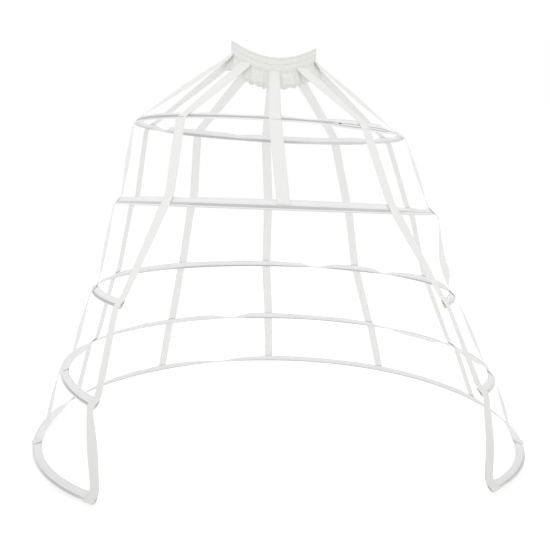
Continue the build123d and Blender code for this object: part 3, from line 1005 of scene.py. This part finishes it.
def strap(name, side, runs):
    """One vertical ribbon, from the waistband to its lowest hoop."""
    path = strap_path(name, side, runs)
    points = softened([place[0] for place in path], 2)
    seed = STRAP_NAMES.index(name) * 2 + (1 if side == "left" else 0)
    rows, spots = [], []
    travelled = 0.0
    for place, point in enumerate(points):
        before = points[max(place - 1, 0)]
        after = points[min(place + 1, len(points) - 1)]
        ahead = (after - before).normalized()
        if place:
            travelled += (point - before).length
        _, along, out, twist = path[place]
        width = (along - ahead * along.dot(ahead)).normalized()
        normal = ahead.cross(width)
        if normal.dot(out) < 0:
            normal = -normal
        twist += STRAP_WANDER * wobble(travelled * 9, seed)
        turned = Matrix.Rotation(radians(twist), 3, ahead)
        width, normal = turned @ width, turned @ normal
        cup = STRAP_CUP * wobble(travelled * 7, seed + 20)
        section = strap_section(cup)
        rows.append([point + width * sideways + normal * outwards for sideways, outwards in section])
        spots.append([(travelled, sideways) for sideways, _ in section])
    flat_points, faces, flat_spots = tube(rows, spots, False)
    label = name if name in ("front", "back") else f"{name}_{side}"
    piece = make_mesh(f"ribbon_{label}", flat_points, faces, flat_spots, cloth["strap"])
    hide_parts(f"strap_{label}")


# Runs are numbered by the hoop that they end at, from 0.
SIDE_RUN = Run(twist=18)
HANG = {
    ("side", "left"): {0: SIDE_RUN, 1: SIDE_RUN, 2: SIDE_RUN, 3: SIDE_RUN, 4: SIDE_RUN},
    ("side", "right"): {
        0: Run(twist=18),
        1: Run(twist=17),
        2: Run(twist=42, peak=0.76, slack=[(0.06, 9), (0.2, 6), (0.38, 0), (0.6, -3), (0.76, 1.5)]),
        3: Run(twist=18),
        4: Run(twist=20),
    },
    ("front_side", "left"): {"waist": Run(aside=5), 0: Run(aside=8), 4: Run(twist=16)},
    ("front_side", "right"): {
        "waist": Run(aside=-7),
        0: Run(aside=-7),
        4: Run(twist=4, sideways=[(0.6, 9)]),
    },
    ("back", "right"): {1: Run(aside=5), 2: Run(aside=7), 3: Run(aside=8), 4: Run(aside=8)},
    ("back_inner", "left"): {2: Run(aside=2), 3: Run(aside=6), 4: Run(aside=8)},
}
for name in STRAP_NAMES:
    for side in (("right",) if name in ("front", "back") else ("left", "right")):
        strap(name, side, HANG.get((name, side), {}))


# Rigid pieces kept from the part

for label, node in frame["nodes"].items():
    if label.startswith("bone_"):
        finish_material = cloth["metal"]
    elif label == "waist_elastic":
        finish_material = cloth["elastic"]
    else:
        continue
    node.data.materials.clear()
    node.data.materials.append(finish_material)


# Floor, light and camera

FLOOR_HALF_WIDTH = 12.0
FLOOR_DROP = 0.004
FLOOR_SHADE = (0.8, 0.8, 0.8, 1)
FLOOR_GLOW = 0.2
FLOOR_GLOW_SEEN = 0.12
WHITE = (1, 1, 1, 1)


def white_where_seen(tree, plain, strength):
    """Shader that adds white for what the camera or a reflection sees, and keeps the shadow."""
    rays = tree.nodes.new("ShaderNodeLightPath")
    seen = rays.outputs["Is Camera Ray"]
    for kind in ("Is Glossy Ray", "Is Transmission Ray"):
        either = tree.nodes.new("ShaderNodeMath")
        either.operation = "MAXIMUM"
        tree.links.new(seen, either.inputs[0])
        tree.links.new(rays.outputs[kind], either.inputs[1])
        seen = either.outputs[0]
    glow = tree.nodes.new("ShaderNodeMath")
    glow.operation = "MULTIPLY"
    glow.inputs[1].default_value = strength
    tree.links.new(seen, glow.inputs[0])
    light = tree.nodes.new("ShaderNodeEmission")
    tree.links.new(glow.outputs[0], light.inputs["Strength"])
    both = tree.nodes.new("ShaderNodeAddShader")
    tree.links.new(plain, both.inputs[0])
    tree.links.new(light.outputs[0], both.inputs[1])
    return both.outputs[0]


def floor():
    """Pale floor just below the hem."""
    size = FLOOR_HALF_WIDTH
    level = cad_box[0].z - FLOOR_DROP
    mesh = bpy.data.meshes.new("floor")
    corners = [(-size, -size, level), (size, -size, level), (size, size, level), (-size, size, level)]
    mesh.from_pydata(corners, [], [(0, 1, 2, 3)])
    material = bpy.data.materials.new("floor_white")
    material.use_nodes = True
    tree = material.node_tree
    shader = tree.nodes["Principled BSDF"]
    shader.inputs["Base Color"].default_value = FLOOR_SHADE
    shader.inputs["Roughness"].default_value = 1.0
    shader.inputs["Specular IOR Level"].default_value = 0.0
    shader.inputs["Emission Color"].default_value = WHITE
    shader.inputs["Emission Strength"].default_value = FLOOR_GLOW
    out = tree.nodes["Material Output"]
    tree.links.new(white_where_seen(tree, shader.outputs[0], FLOOR_GLOW_SEEN), out.inputs["Surface"])
    mesh.materials.append(material)
    piece = bpy.data.objects.new("floor", mesh)
    bpy.context.scene.collection.objects.link(piece)


def world():
    """White surroundings to look at, and a plain soft light from all round."""
    sky = bpy.data.worlds.new("studio")
    bpy.context.scene.world = sky
    sky.use_nodes = True
    background = sky.node_tree.nodes["Background"]
    background.inputs["Color"].default_value = WHITE
    background.inputs["Strength"].default_value = 1.0


def lamp(name, place, target, size, power):
    """Large soft lamp."""
    light = bpy.data.lights.new(name, "AREA")
    light.shape = "DISK"
    light.size = size
    light.energy = power
    holder = bpy.data.objects.new(name, light)
    holder.location = place
    holder.rotation_mode = "QUATERNION"
    holder.rotation_quaternion = (Vector(target) - Vector(place)).to_track_quat("-Z", "Y")
    bpy.context.scene.collection.objects.link(holder)


def camera():
    """Camera at the photograph's place, pitched down and rolled a little."""
    across = Vector((cos(CAMERA_SPIN), -sin(CAMERA_SPIN), 0))
    level = Vector((sin(CAMERA_SPIN), cos(CAMERA_SPIN), 0))
    right = across * cos(CAMERA_ROLL) + Vector((0, 0, sin(CAMERA_ROLL)))
    rolled_up = Vector((0, 0, cos(CAMERA_ROLL))) - across * sin(CAMERA_ROLL)
    forward = level * cos(CAMERA_PITCH) - rolled_up * sin(CAMERA_PITCH)
    up = level * sin(CAMERA_PITCH) + rolled_up * cos(CAMERA_PITCH)
    data = bpy.data.cameras.new("camera")
    data.sensor_width = 36
    data.lens = CAMERA_LENS
    data.clip_end = 100
    holder = bpy.data.objects.new("camera", data)
    turn = Matrix((right, up, -forward)).transposed()
    holder.matrix_world = Matrix.Translation(CAMERA_PLACE) @ turn.to_4x4()
    bpy.context.scene.collection.objects.link(holder)
    bpy.context.scene.camera = holder


floor()
world()
lamp("key", place=(-0.9, -2.2, 1.6), target=(0, 0, -0.3), size=2.0, power=3)
camera()
bpy.context.scene.view_settings.view_transform = "Standard"
